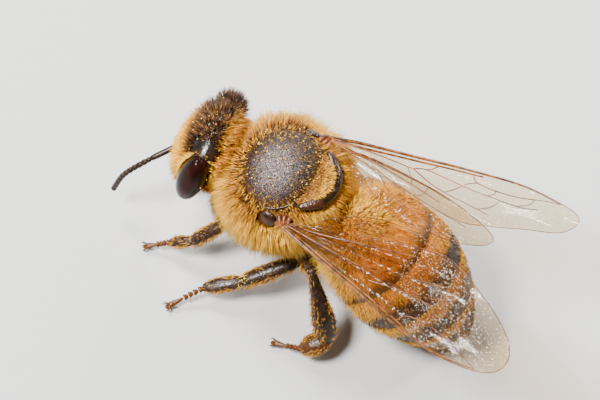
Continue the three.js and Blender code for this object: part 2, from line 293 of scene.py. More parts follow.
def finished(name, mesh, material):
    """A smooth piece of the bee from a mesh that is already in the row frame."""
    mesh.shade_smooth()
    mesh.materials.append(material)
    made = add_object(name, mesh)
    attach(made, "root")
    return made


def piece(name, bm, matrix, material, replaced=()):
    """Turns a bmesh, in millimetres in the frame of matrix, into a piece, in place of the replaced nodes."""
    bmesh.ops.recalc_face_normals(bm, faces=bm.faces)
    bm.transform(matrix)
    mesh = bpy.data.meshes.new(name)
    bm.to_mesh(mesh)
    bm.free()
    made = finished(name, mesh, material)
    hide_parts(*replaced)
    return made


# ---------------------------------------------------------------- materials


class Wire:
    """A socket that carries a value. Arithmetic on it adds Math nodes."""

    def __init__(self, finish, socket):
        self.finish = finish
        self.socket = socket

    def maths(self, operation, first, second):
        return self.finish.node("ShaderNodeMath", {"operation": operation}, {0: first, 1: second})

    def __add__(self, other):
        return self.maths("ADD", self, other)

    def __rsub__(self, other):
        return self.maths("SUBTRACT", other, self)

    def __mul__(self, other):
        return self.maths("MULTIPLY", self, other)

    __radd__ = __add__
    __rmul__ = __mul__

    def step(self, low, high):
        """0 below low, 1 above high, and a smooth step between them."""
        settings = {"interpolation_type": "SMOOTHSTEP"}
        return self.finish.node("ShaderNodeMapRange", settings, {0: self, 1: low, 2: high})


class Finish:
    """A material under way, with a Principled shader."""

    def __init__(self, name):
        self.material = bpy.data.materials.new(name)
        self.material.use_nodes = True
        self.tree = self.material.node_tree
        self.shader = self.tree.nodes["Principled BSDF"]
        self.place = None

    def feed(self, socket, value):
        """Gives a socket a wire, a colour or a number."""
        if isinstance(value, Wire):
            self.tree.links.new(value.socket, socket)
        elif isinstance(value, tuple) and len(value) == 3 and socket.type == "RGBA":
            socket.default_value = (*value, 1)
        else:
            socket.default_value = value

    def node(self, kind, settings=None, inputs=None, out=0):
        """Adds a node: its settings first, then the values or wires of its sockets."""
        made = self.tree.nodes.new(kind)
        for key, value in (settings or {}).items():
            setattr(made, key, value)
        for key, value in (inputs or {}).items():
            self.feed(made.inputs[key], value)
        return Wire(self, made.outputs[out])

    def where(self):
        """The place on the object, in millimetres."""
        if self.place is None:
            here = self.node("ShaderNodeTexCoord", out=3)
            scaled = {0: here, "Scale": 1 / MM}
            self.place = self.node("ShaderNodeVectorMath", {"operation": "SCALE"}, scaled)
        return self.place

    def noise(self, scale, detail=2.0, stretch=None):
        """Noise from 0 to 1, with about scale features in each millimetre."""
        place = self.where()
        if stretch:
            place = self.node("ShaderNodeVectorMath", {"operation": "MULTIPLY"}, {0: place, 1: stretch})
        return self.node("ShaderNodeTexNoise", {}, {"Vector": place, "Scale": scale, "Detail": detail})

    def cells(self, scale, feature="F1", out=0):
        """Distance to the middle of the nearest cell, with about scale cells in each millimetre.

        With out=1 it is a random shade for each cell instead.
        """
        inputs = {"Vector": self.where(), "Scale": scale}
        return self.node("ShaderNodeTexVoronoi", {"feature": feature}, inputs, out)

    def read(self, name):
        """A number stored on the mesh."""
        return self.node("ShaderNodeAttribute", {"attribute_name": name}, out=2)

    def blend(self, first, second, share):
        """A colour between two colours."""
        return self.node("ShaderNodeMix", {"data_type": "RGBA"}, {0: share, 6: first, 7: second}, out=2)

    def relief(self, height, depth, strength=1.0):
        """Raises the surface by up to depth millimetres."""
        inputs = {"Height": height, "Distance": depth * MM, "Strength": strength}
        self.feed(self.shader.inputs["Normal"], self.node("ShaderNodeBump", {}, inputs))

    def surface(self, **sockets):
        """Sets the shader's sockets and returns the material."""
        for name, value in sockets.items():
            self.feed(self.shader.inputs[name.replace("_", " ")], value)
        return self.material


def fur_finish():
    """Hair: pale straw to orange, with paler tips painted as if lit, darker at the root, or dark brown."""
    f = Finish("fur")
    along, tone, dark, luck = (f.read(name) for name in ("along", "tone", "dark", "luck"))
    golden = f.blend((0.95, 0.475, 0.024), (0.6, 0.18, 0.005), tone)
    # Painted highlight: the outer part of each hair is blended towards pale straw, standing for its lit tip.
    painted_lit_tips = f.blend(golden, (1.0, 0.64, 0.1), along.step(0.4, 1.0) * (1 - tone) * 0.65)
    rooted = f.blend((0.17, 0.055, 0.003), painted_lit_tips, along.step(-0.05, 0.65))
    brown = f.blend((0.012, 0.005, 0.0025), (0.075, 0.028, 0.007), luck)
    colour = f.blend(rooted, brown, dark)
    varied = f.node("ShaderNodeHueSaturation", {}, {"Value": 0.72 + luck * 0.36, "Color": colour})
    return f.surface(Base_Color=varied, Roughness=0.4, Specular_IOR_Level=0.3)


def chest_finish():
    """The thorax under its hair: black-brown, pitted all over, browner at the sides, with fine grey down and
    a painted grey sheen on the disc.
    """
    f = Finish("chest_shell")
    disc = f.read("disc")
    mottle = f.noise(3.5, 3)
    shell = f.blend((0.008, 0.004, 0.003), (0.035, 0.014, 0.006), mottle.step(0.4, 0.75))
    # The disc's fine grey down, painted brighter and off to one side where the key lamp's sheen falls: partly
    # real down, partly painted sheen.
    down = f.noise(38, 2).step(0.5, 0.66) * f.read("down")
    shell = f.blend(shell, (0.4, 0.33, 0.32), down)
    colour = f.blend((0.2, 0.075, 0.014), shell, disc)
    pits = f.cells(16).step(0.05, 0.6)
    f.relief(pits + f.noise(40, 2) * 0.6, 0.03, 0.8)
    return f.surface(Base_Color=colour, Roughness=0.3 + mottle * 0.1, Specular_IOR_Level=0.24)


def gloss_finish(name, low, high, rough=0.22, depth=0.012):
    """Shell with a shine: two browns in soft patches, with small pits."""
    f = Finish(name)
    mottle = f.noise(2.5, 3)
    colour = f.blend(low, high, mottle.step(0.35, 0.7))
    f.relief(f.cells(14).step(0.0, 0.5) + f.noise(30, 2) * 0.4, depth, 0.7)
    return f.surface(Base_Color=colour, Roughness=rough + mottle * 0.1, Specular_IOR_Level=0.3)


def eye_finish():
    """A compound eye: very dark reddish brown, with fine facets under a high shine."""
    f = Finish("eye")
    colour = f.blend((0.004, 0.002, 0.0015), (0.02, 0.004, 0.003), f.noise(1.3, 2).step(0.35, 0.75))
    f.relief(f.cells(26).step(0.0, 0.6), 0.004, 0.5)
    return f.surface(Base_Color=colour, Roughness=0.07, Specular_IOR_Level=0.065)


def band_finish():
    """The abdomen's plates: amber, with dark rear bands and a fine grain across."""
    f = Finish("banded_shell")
    dark = f.read("dark")
    mottle = f.noise(3, 3)
    amber = f.blend((0.56, 0.22, 0.018), (0.27, 0.08, 0.007), mottle.step(0.35, 0.7))
    black = f.blend((0.009, 0.004, 0.0025), (0.034, 0.013, 0.005), mottle)
    colour = f.blend(amber, black, dark)
    grain = f.noise(22, 2, (0.4, 1.4, 1.4)) * 0.6 + f.cells(13).step(0.0, 0.45) * 0.5
    f.relief(grain, 0.02, 0.7)
    return f.surface(Base_Color=colour, Roughness=0.26 + mottle * 0.12, Specular_IOR_Level=0.16)


def leg_finish():
    """A leg: near black, turning reddish brown towards the foot, with fine grain along it."""
    f = Finish("leg")
    rust = f.read("rust")
    mottle = f.noise(4, 3)
    black = f.blend((0.01, 0.006, 0.004), (0.04, 0.018, 0.008), mottle.step(0.4, 0.8))
    brown = f.blend((0.045, 0.012, 0.002), (0.12, 0.036, 0.004), mottle)
    f.relief(f.cells(15).step(0.0, 0.5) + f.noise(30, 2) * 0.5, 0.014, 0.7)
    colour = f.blend(black, brown, rust)
    return f.surface(Base_Color=colour, Roughness=0.18 + mottle * 0.16, Specular_IOR_Level=0.28)


def feeler_finish():
    """A feeler: nearly black and dull, with a very fine nap."""
    f = Finish("feeler")
    colour = f.blend((0.007, 0.004, 0.003), (0.03, 0.014, 0.007), f.noise(6, 3).step(0.35, 0.75))
    f.relief(f.noise(45, 2), 0.008, 0.6)
    return f.surface(Base_Color=colour, Roughness=0.3, Specular_IOR_Level=0.22)


def membrane_finish():
    """A wing's membrane: clear, a little smoky, crinkled so that it glitters, most of all towards its tip,
    with pale specks of fine hairs on its outer part, painted white as glints.
    """
    f = Finish("wing_membrane")
    mottle = f.noise(1.6, 3)
    outer = f.read("outer")
    colour = f.blend((0.05, 0.022, 0.008), (0.16, 0.085, 0.035), mottle.step(0.35, 0.7))
    # Painted glints: white dots on the outer part of the membrane for the sparkle of its fine hairs; partly
    # real pale hairs, partly painted highlight.
    hair_and_glint_specks = f.cells(12).step(0.32, 0.16) * f.cells(12, out=1).step(0.4, 0.5) * outer
    colour = f.blend(colour, (0.85, 0.83, 0.79), hair_and_glint_specks)
    crinkle = f.cells(15) * outer * 1.1 + f.cells(6, "SMOOTH_F1") * 0.7 + f.noise(5, 3) * 0.8
    f.relief(crinkle, 0.035, 0.7)
    f.surface(Base_Color=colour, Roughness=0.1, Specular_IOR_Level=1.0, Coat_Weight=1.0, Coat_Roughness=0.05)
    clear = f.node("ShaderNodeBsdfTransparent", {}, {"Color": (0.95, 0.88, 0.76)})
    film = Wire(f, f.shader.outputs[0])
    mixed = f.node("ShaderNodeMixShader", {}, {0: 0.065 + hair_and_glint_specks * 0.4, 1: clear, 2: film})
    f.feed(f.tree.nodes["Material Output"].inputs["Surface"], mixed)
    return f.material


def vein_finish():
    """A wing's vein: brown and nearly smooth."""
    f = Finish("wing_vein")
    colour = f.blend((0.04, 0.011, 0.002), (0.19, 0.055, 0.004), f.noise(4, 2).step(0.35, 0.7))
    f.relief(f.noise(25, 2), 0.006, 0.6)
    return f.surface(Base_Color=colour, Roughness=0.24, Specular_IOR_Level=0.25)


def pollen_finish():
    """A grain of pollen: rough and bright yellow."""
    f = Finish("pollen")
    colour = f.blend((0.9, 0.5, 0.02), (1.0, 0.78, 0.08), f.noise(12, 2))
    f.relief(f.cells(60), 0.006, 0.8)
    return f.surface(Base_Color=colour, Roughness=0.6)


FUR = fur_finish()
SHELL = gloss_finish("dark_shell", (0.01, 0.005, 0.003), (0.045, 0.015, 0.005), 0.18)
SKULL_SHELL = gloss_finish("head_shell", (0.008, 0.006, 0.005), (0.03, 0.015, 0.008), 0.16, 0.005)
RUSTY = gloss_finish("rusty_shell", (0.06, 0.016, 0.005), (0.2, 0.055, 0.012), 0.2)
EYES = eye_finish()
BANDS = band_finish()
LEG = leg_finish()
FEELER = feeler_finish()
MEMBRANE = membrane_finish()
VEIN = vein_finish()
POLLEN = pollen_finish()

# ---------------------------------------------------------------- thorax


SCUTELLUM = Matrix.Translation((0, 1.6, 1.15)) @ Matrix.Rotation(radians(-20), 4, "X")
SCUTELLUM_SIDE = 1.1  # from its middle to each end
HORN_REACH = 1.12  # from the middle of the scutellum's raised edge to the end of each horn
RIM_LIFT = -0.02  # height of that edge in the scutellum's own frame
RIM_RADII = (0.13, 0.22, 0.265, 0.28, 0.28, 0.28, 0.265, 0.21, 0.13)
# The disc's bare edge: where it starts and ends, in degrees back from the disc's side, and its radii.
EDGE_TURNS = (-8, 62)
EDGE_RADII = (0.01, 0.04, 0.045, 0.04, 0.01)
TEGULA = {"place": (1.7, 0.26, 0.72), "size": (0.31, 0.33, 0.14), "tilt": 62}
NECK = ((0, -1.4, -0.1), (0, -1.9, -0.02), (0, -2.35, 0.1))
WAIST = ((0, 1.4, -0.5), (0.02, 2.0, -0.75), (0.06, 2.7, -1.05))
# The knuckles of the left wing's hinge: where each starts, how far it reaches, and its thickness.
KNUCKLES = (
    ((1.6, 0.52, 0.6), (0.2, 0.36, 0.22), 0.1),
    ((1.5, 0.62, 0.92), (0.28, 0.28, -0.08), 0.08),
    ((1.42, 0.8, 0.9), (0.36, 0.16, -0.08), 0.07),
    ((1.4, 0.98, 0.84), (0.36, 0.04, -0.1), 0.07),
    ((1.42, 1.12, 0.5), (0.3, 0.26, 0.02), 0.08),
)


def disc_reach(x, y):
    """Distance from the middle of the disc on the thorax's back, 1 at the disc's edge."""
    return np.hypot(x / DISC["x"], y / DISC["y"])


def disc_share(p):
    """1 on the bare disc of the thorax's back, 0 in the long coat round it."""
    return (1 - smooth(0.84, 1.1, disc_reach(p[..., 0], p[..., 1]))) * smooth(0.2, 0.6, p[..., 2])


def down_and_sheen_share(p):
    """Where the disc's fine grey down shows, together with a painted grey sheen: its middle is set off
    towards the bee's left, where the key lamp's highlight falls.
    """
    return 1 - smooth(0.2, 0.85, disc_reach(p[..., 0] - 0.3, p[..., 1] + 0.02))


def shell_point(d, size):
    """A point of a round shell that reaches its own way to the front, the back, the top and the bottom."""
    return Vector((
        d.x * size["side"],
        d.y * (size["front"] if d.y < 0 else size["back"]),
        d.z * (size["top"] if d.z > 0 else size["bottom"]),
    ))


def chest_point(d):
    """The thorax's shell, with the raised disc of its back and the furrow round that."""
    p = shell_point(d, CHEST)
    if p.z > 0:
        reach = float(disc_reach(p.x, p.y))
        furrow = -0.06 * float(bell(reach - 1.02, 0.05))
        midline = -0.02 * float(bell(p.x, 0.06)) * float(1 - smooth(0.6, 0.9, reach))
        p += d * (furrow + midline + 0.04 * float(1 - smooth(0.8, 1.0, reach)))
    return p


def make_thorax():
    """The thorax with its neck, its waist and the body of the scutellum, under one skin."""
    bm = bmesh.new()
    ball(bm, chest_point, 72, 96)
    rod(bm, NECK, (0.5, 0.42, 0.42))
    rod(bm, WAIST, (0.5, 0.34, 0.4))

    def bolster(d):
        return SCUTELLUM @ Vector((SCUTELLUM_SIDE * d.x, 0.45 * d.y - 0.3 * d.x * d.x, 0.3 * d.z - 0.08))

    ball(bm, bolster, 24, 32)
    made = piece("thorax_skin", bm, THORAX, chest_finish(), ("thorax", "neck", "waist"))
    # The down attribute holds the disc's grey down together with its painted sheen.
    mark(made, THORAX, disc=disc_share, down=down_and_sheen_share)
    return made


def crescent(x):
    """The middle line of the scutellum's raised edge, in its own frame."""
    return 0.26 - 0.66 * (x / SCUTELLUM_SIDE) ** 2


def make_scutellum():
    """The raised crescent behind the disc, with its horns forwards, and the bare edges of the disc itself."""
    bm = bmesh.new()
    across = np.linspace(-HORN_REACH, HORN_REACH, 11)
    path = [SCUTELLUM @ Vector((x, crescent(x), RIM_LIFT)) for x in across]
    rod(bm, path, RIM_RADII, flat=0.85, around=24, along=48, blunt=4)
    for side in SIDES.values():
        edge = []
        for turn in np.linspace(*map(radians, EDGE_TURNS), 8):
            x, y = DISC["x"] * 0.99 * cos(turn), DISC["y"] * sin(turn)
            z = CHEST["top"] * (1 - (x / CHEST["side"]) ** 2 - (y / CHEST["back"]) ** 2) ** 0.5
            edge.append((x * side, y, z + 0.02))
        rod(bm, edge, EDGE_RADII, around=10, along=40)
    piece("scutellum_shell", bm, THORAX, SHELL, ("scutellum",))


def make_tegula(word):
    """The small dome over a wing's root, with the knuckles of the wing's hinge behind it."""
    side = SIDES[word]
    bm = bmesh.new()
    tilt = Matrix.Rotation(radians(TEGULA["tilt"]) * side, 3, "Y")
    (centre,) = mirrored([TEGULA["place"]], side)

    def dome(d):
        return centre + tilt @ stretched(d, TEGULA["size"])

    ball(bm, dome, 18, 24)
    piece(f"tegula_shell_{word}", bm, THORAX, SHELL, (f"tegula_{word}",))
    hinge = bmesh.new()
    for place, reach, thick in KNUCKLES:
        start, way = mirrored((place, reach), side)
        bow = start + way * 0.5 + Vector((0.05 * side, 0, 0.05))
        rod(hinge, (start, bow, start + way), (thick * 1.3, thick, thick * 0.8), flat=0.8)
    piece(f"wing_hinge_{word}", hinge, THORAX, RUSTY)


# ---------------------------------------------------------------- head

SMALL_EYES = ((0, -0.36, 1.36), (0.32, -0.12, 1.41), (-0.32, -0.12, 1.41))
SMALL_EYE_RADIUS = 0.13
LIP = ((-0.38, -0.78, -1.36), (0, -0.86, -1.42), (0.38, -0.78, -1.36))
JAW = ((0.7, -0.5, -1.15), (0.6, -0.74, -1.6), (0.2, -0.82, -2.05))
BLADE = ((0.14, -0.3, -1.35), (0.17, -0.05, -1.9), (0.08, 0.3, -2.55))
PALP = ((0.24, -0.1, -1.5), (0.27, 0.1, -1.95), (0.2, 0.28, -2.3))
TONGUE = ((0, -0.1, -1.5), (0, 0.12, -2.1), (0, 0.36, -2.62))
SIDEWAYS = (1, 0, 0)  # keeps the flat side of the jaws and the blades fore and aft
SCAPE_KNOB = 0.13
FIRST_LENGTH = 0.075  # share of the whole whip that its first length takes, before ten equal ones


def skull_point(d):
    """The head's capsule: wide at the eyes, narrow at the jaws, with a shield over the mouth."""
    p = shell_point(d, SKULL)
    low = max(0, -p.z / SKULL["bottom"])
    p.x *= 1 - 0.5 * low * low
    if p.y < 0:
        shield = smooth(0.75, 0.55, abs(p.x) + 0.25 * max(p.z + 0.6, 0)) * smooth(-1.3, -1.1, p.z)
        shield *= smooth(-0.2, -0.4, p.z)
        p.y -= 0.12 * float(shield)
        ridge = float(bell(p.x, 0.12) * smooth(-0.3, 0.1, p.z) * smooth(0.8, 0.4, p.z))
        p.y -= 0.06 * ridge
    return p


def make_head():
    """The head's capsule with its upper lip, and the three small eyes on its crown."""
    bm = bmesh.new()
    ball(bm, skull_point, 64, 80)
    rod(bm, LIP, (0.12, 0.15, 0.12), flat=0.6)
    for place in SMALL_EYES:
        ball(bm, lambda d: Vector(place) + d * SMALL_EYE_RADIUS, 12, 16)
    return piece("head_shell", bm, HEAD, SKULL_SHELL, ("head",))


def make_eye(word):
    """A compound eye, leaning in at the top."""
    side = SIDES[word]
    lean = Matrix.Rotation(radians(-EYE["lean"]) * side, 3, "Y")
    bm = bmesh.new()

    def point(d):
        return EYE_PLACE[word] + lean @ stretched(d, EYE["size"])

    ball(bm, point, 40, 48)
    return piece(f"eye_lens_{word}", bm, HEAD, EYES, (f"eye_{word}",))


def make_jaw(word):
    """A jaw: a flat curved blade that widens again before its tip."""
    bm = bmesh.new()
    radii = (0.25, 0.21, 0.16, 0.19, 0.13)
    rod(bm, mirrored(JAW, SIDES[word]), radii, flat=0.5, around=18, along=22, blunt=4, up=SIDEWAYS)
    piece(f"mandible_{word}", bm, HEAD, RUSTY, (f"jaw_{word}",))


def make_tongue():
    """The folded mouthparts: two blades and two palps round the tongue."""
    bm = bmesh.new()
    for side in SIDES.values():
        rod(bm, mirrored(BLADE, side), (0.16, 0.17, 0.13, 0.05), flat=0.4, along=18, blunt=5, up=SIDEWAYS)
        rod(bm, mirrored(PALP, side), (0.05, 0.05, 0.03), around=8, along=12)
    rod(bm, TONGUE, (0.09, 0.08, 0.05, 0.07), around=10, along=24)
    piece("mouthparts", bm, HEAD, RUSTY, ("tongue",))


def make_feeler(word):
    """A feeler: a long first length, then eleven short ones."""
    root, elbow, middle, tip = FEELERS[word]
    scape = bmesh.new()
    ball(scape, lambda d: Vector(root) + Vector((0, 0.03, 0)) + d * SCAPE_KNOB, 12, 16)
    rod(scape, (root, elbow), (0.07, 0.1, 0.105, 0.1), around=16, along=18, blunt=8)
    piece(f"scape_shell_{word}", scape, HEAD, FEELER, (f"scape_{word}",))
    at = flowing((elbow, middle, tip))
    flagellum = bmesh.new()
    ends = [0, FIRST_LENGTH] + [FIRST_LENGTH + (1 - FIRST_LENGTH) * (i + 1) / 10 for i in range(10)]
    for start, end in zip(ends, ends[1:]):
        lengths = [at(start + (end - start) * t) for t in (0.02, 0.5, 0.99)]
        radii = (0.085, 0.1, 0.105) if start else (0.075, 0.095, 0.09)
        rod(flagellum, lengths, radii, along=8, blunt=7)
    piece(f"flagellum_shell_{word}", flagellum, HEAD, FEELER, (f"flagellum_{word}",))


# ---------------------------------------------------------------- abdomen


def spine_at(share):
    """A place on the abdomen's spine, and the way out of its back there."""
    angle = SPINE["bend"] * share
    radius = SPINE["length"] / SPINE["bend"]
    return Vector((0, radius * sin(angle), radius * (cos(angle) - 1))), Vector((0, sin(angle), cos(angle)))


def belly_point(share, turn, out=0.0):
    """A point of the abdomen's shell: turn is 0 at the back and pi underneath."""
    fat = sin(pi * min(max(share, 0), 1) ** BELLY["fattest"]) ** BELLY["fullness"]
    place, up = spine_at(share)
    reach = Vector(((BELLY["x"] * fat + out) * sin(turn), 0, 0))
    return place + reach + up * ((BELLY["z"] * fat + out) * cos(turn))


def share_and_turn(p):
    """The inverse of belly_point for points in rows: share along the spine, and turn round it."""
    radius = SPINE["length"] / SPINE["bend"]
    share = np.arctan2(p[..., 1], p[..., 2] + radius) / SPINE["bend"]
    height = np.hypot(p[..., 1], p[..., 2] + radius) - radius
    return share, np.arctan2(p[..., 0] / BELLY["x"], height / BELLY["z"])


BAND_STARTS = (0.95, 0.78, 0.5, 0.42, 0.38, 0.05)  # share of each plate where its dark band starts
BAND_DEPTHS = (0.3, 0.85, 1.0, 1.0, 1.0, 0.9)


def plate_and_share(share, plate=None):
    """Which plate a share of the spine falls on, unless it is given, and the share of that plate's length."""
    ends = np.array(PLATE_ENDS)
    if plate is None:
        plate = np.clip(np.searchsorted(ends, share, "right") - 1, 0, len(ends) - 2)
    return plate, (share - ends[plate]) / (ends[plate + 1] - ends[plate])


def band_share(p, plate=None):
    """1 on a dark band of the abdomen's back, 0 on the amber. The bands fade out underneath."""
    share, turn = share_and_turn(p)
    plate, within = plate_and_share(share, plate)
    waver = 0.05 * np.sin(5 * turn) + 0.03 * np.sin(11 * turn + plate)
    starts = np.array(BAND_STARTS)[plate] + waver
    band = smooth(starts - 0.06, starts + 0.1, within) * np.array(BAND_DEPTHS)[plate]
    return band * (1 - 0.55 * smooth(1.7, 2.3, np.abs(turn)))


def make_plate(number):
    """One plate of the abdomen: a ring whose rear edge overlaps the next."""
    start, end = PLATE_ENDS[number - 1], PLATE_ENDS[number]
    tuck = 0.035 if number > 1 else 0.0
    span = end - start
    outline = [(start - tuck, -0.09), (start - tuck * 0.3, -0.06), (start + 0.02, -0.015)]
    outline += [(start + span * t, 0.01 + 0.035 * t) for t in (0.15, 0.3, 0.45, 0.6, 0.75, 0.9)]
    if number < len(PLATE_ENDS) - 1:
        outline += [(end, 0.04), (end + 0.004, 0.02), (end, -0.03), (start + span * 0.5, -0.08)]
        outline.append(outline[0])
    else:
        outline += [(start + span * t, 0.02) for t in (0.97, 0.995, 1.0)]
    bm = bmesh.new()
    steps = len(outline) - 1

    def point(u, v):
        share, out = outline[round(u * steps)]
        return belly_point(share, 2 * pi * v, out)

    bend_grid(bm, point, steps, 96)
    made = piece(f"abdomen_plate_{number}", bm, ABDOMEN, BANDS, (f"abdomen_{number}",))
    mark(made, ABDOMEN, dark=lambda p: band_share(p, number - 1))
    return made


# ---------------------------------------------------------------- wings


def wing_matrix(name):
    """A wing's own frame in the thorax's: x along it, y across it and z out of its top."""
    side = SIDES[name.split("_")[1]]
    wing = WINGS[name]
    out, down, lean = (radians(wing[key]) for key in ("spread", "droop", "roof"))
    along = Vector((side * sin(out) * cos(down), cos(out) * cos(down), -sin(down)))
    outwards = (Vector((side, 0, 0)) - along * (side * along.x)).normalized()
    normal = outwards.cross(along) * (side * cos(lean)) + outwards * sin(lean)
    across = normal.cross(along)
    turn = Matrix((along, across, normal)).transposed().to_4x4()
    return THORAX @ Matrix.Translation(wing["root"]) @ turn


def edge_at(edge):
    """Distance ahead of a wing's line as a function of the distance from its root, along a smooth edge."""
    at = flowing([(x, y, 0) for x, y in edge])
    samples = np.array([at(t)[:2] for t in np.linspace(0, 1, 120)])
    return lambda x: float(np.interp(x, samples[:, 0], samples[:, 1]))


def pleat(x, y, length):
    """How far a wing's membrane rises at a place: pleats fan out from the root, and fade at the tip."""
    fan = y / (0.25 + 0.32 * x) if x < length * 0.7 else y / (0.25 + 0.224 * length)
    fade = 1 - 0.55 * float(smooth(0.45 * length, 0.95 * length, x))
    ripple = 0.03 * sin(2.1 * x + 3 * y) * float(smooth(0.3 * length, 0.8 * length, x))
    return 0.075 * fade * sin(9.5 * fan) * float(smooth(0, 1.2, x)) + ripple


def make_wing(name, edges, veins):
    """A wing: a pleated membrane with thickness, and raised veins."""
    side = SIDES[name.split("_")[1]]
    matrix = wing_matrix(name)
    front, back = edge_at(edges["front"]), edge_at(edges["back"])
    length = edges["front"][-1][0]

    def at(x, y, lift=0.0):
        return Vector((x, -y * side, WING_MIDDLE + pleat(x, y, length) + lift))

    def point(u, v):
        x = length * sin(pi / 2 * u)
        return at(x, front(x) + (back(x) - front(x)) * v)

    bm = bmesh.new()
    bend_grid(bm, point, 90, 44)
    made = piece(f"{name}_membrane", bm, matrix, MEMBRANE, (name,))
    mark(made, matrix, outer=lambda p: smooth(0.5 * length, 0.72 * length, p[:, 0]))
    wall = made.modifiers.new("thickness", "SOLIDIFY")
    wall.thickness = MEMBRANE_THICKNESS * MM
    wall.offset = 0
    ribs = bmesh.new()
    border = {"margin": (0.02, 0.03, *edges["back"]), "rim": (0.05, 0.03, *edges["front"])}
    for start, end, *places in (veins | border).values():
        curve = flowing([(x, y, 0) for x, y in places])
        path = []
        for share in np.linspace(0, 1, 4 * len(places)):
            here = curve(float(share))
            path.append(at(here.x, here.y, VEIN_LIFT))
        rod(ribs, path, np.linspace(start, end, 5) / 2, flat=0.8, around=8, along=5 * len(places), blunt=12)
    piece(f"{name}_veins", ribs, matrix, VEIN)


# ---------------------------------------------------------------- legs


def leg_rust(name, leg=""):
    """How reddish each length of a leg is. The hind feet are the palest."""
    wide_foot = 0.45 if "hind" in leg else 0.06
    return {"coxa": 0.1, "femur": 0.05, "tibia": 0.05, "metatarsus": wide_foot, "toes": 1.0}[name]


TOE_ENDS = (0, 0.15, 0.29, 0.42, 0.55, 0.95)
CLAW_RADII = (0.045, 0.04, 0.028, 0.008)
PAD = (0.075, 0.075, 0.05)


def make_toes(leg, ankle, toe):
    """The last five joints of a foot, with two hooked claws and a pad."""
    bm = bmesh.new()
    start, end = Vector(ankle), Vector(toe) + Vector((0, 0, 0.1))
    axis = end - start
    for i, (low, high) in enumerate(zip(TOE_ENDS, TOE_ENDS[1:])):
        radii = (0.06, 0.1, 0.125) if i < 4 else (0.05, 0.085, 0.13)
        rod(bm, (start + axis * (low + 0.01), start + axis * high), radii, flat=0.85, around=12, along=10)
    forward = Vector((axis.x, axis.y, 0)).normalized()
    sideways = Vector((-forward.y, forward.x, 0))
    knuckle = start + axis * 0.93
    for side in SIDES.values():
        out = sideways * side
        hook = (
            knuckle,
            knuckle + forward * 0.1 + out * 0.12 + Vector((0, 0, 0.02)),
            knuckle + forward * 0.17 + out * 0.14 - Vector((0, 0, 0.03)),
            knuckle + forward * 0.18 + out * 0.1 - Vector((0, 0, 0.06)),
        )
        rod(bm, hook, CLAW_RADII, around=8, along=14)
    pad = knuckle + forward * 0.1 - Vector((0, 0, 0.05))
    ball(bm, lambda d: pad + stretched(d, PAD), 10, 12)
    made = piece(f"foot_{leg}", bm, BEE, LEG, (f"toes_{leg}",))
    mark(made, BEE, rust=lambda p: np.full(len(p), leg_rust("toes")))


def make_leg(leg, joints):
    """The five lengths of a leg. Returns the pieces that carry hair, with their two ends."""
    hip, knee, heel, ankle, toe = joints
    trunk = (hip[0] * 0.8, hip[1] + 0.1, hip[2] + 1.1)
    radii = LEG_RADII[leg.split("_")[0]]
    spans = {"coxa": (trunk, hip), "femur": (hip, knee), "tibia": (knee, heel), "metatarsus": (heel, ankle)}
    hairy = []
    for part, (start, end) in spans.items():
        bm = bmesh.new()
        up = (0, 1, 0) if part == "coxa" else (0, 0, 1)
        reach = Vector(end) - Vector(start)
        path = (Vector(start) - reach.normalized() * 0.06, Vector(end) + reach.normalized() * 0.04)
        rod(bm, path, radii[part], flat=LEG_FLAT[part], around=20, along=24, blunt=7, up=up)
        made = piece(f"{part}_shell_{leg}", bm, BEE, LEG, (f"{part}_{leg}",))
        tint = leg_rust(part, leg)
        mark(made, BEE, rust=lambda p: np.full(len(p), tint))
        hairy.append((part, made, Vector(start), Vector(end)))
    make_toes(leg, ankle, toe)
    return hairy


# ---------------------------------------------------------------- coats

RING = 3  # sides of a hair
HAIR_POINTS = 2 * RING + 1
HAIRS_PER_PIECE = 19500
ALONG = np.array([0, 0, 0, 0.5, 0.5, 0.5, 1.0])  # share of a hair's length at each of its points
ACROSS = np.array([0, 0.5, 1.0, 0, 0.5, 1.0, 0.5])  # place of each point across the hair's patch
PATCH = 0.003  # width of a hair's patch in the coat's unwrap
FINE_HAIR = 0.0085  # radius of the hairs of the abdomen and the legs
GUARD_HAIRS = 0.12  # share of the hairs that stand out beyond the rest
LOCK_REACH = 0.35  # how far from its leader a hair is still drawn into its lock


def hair_faces():
    """The triangles of one hair: its base, its sides and its tip."""
    faces = [(0, 2, 1)]
    for k in range(RING):
        j = (k + 1) % RING
        faces += [(k, j, RING + j), (k, RING + j, RING + k), (RING + k, RING + j, 2 * RING)]
    return np.array(faces)


HAIR_FACES = hair_faces()


def scatter(made, matrix, count, density, chance):
    """Random places on a piece and their normals, in the frame of matrix. density says where more fall."""
    mesh = made.data
    mesh.calc_loop_triangles()
    corners = np.empty(len(mesh.loop_triangles) * 3, np.int32)
    mesh.loop_triangles.foreach_get("vertices", corners)
    corners = corners.reshape(-1, 3)
    points = points_of(made, matrix)
    normals = np.empty(len(mesh.vertices) * 3)
    mesh.vertices.foreach_get("normal", normals)
    back = np.array(matrix.inverted())[:3, :3]
    normals = unit(normals.reshape(-1, 3) @ back.T)
    triangles = points[corners]
    first, second, third = triangles.transpose(1, 0, 2)
    areas = np.linalg.norm(np.cross(second - first, third - first), axis=1)
    weights = areas * density(triangles.mean(axis=1))
    chosen = chance.choice(len(weights), count, p=weights / weights.sum())
    a, b = chance.random((2, count, 1))
    a, b = np.where(a + b > 1, 1 - a, a), np.where(a + b > 1, 1 - b, b)
    mix = np.stack([1 - a - b, a, b], axis=1)
    place = (triangles[chosen] * mix).sum(axis=1)
    return place, unit((normals[corners[chosen]] * mix).sum(axis=1))


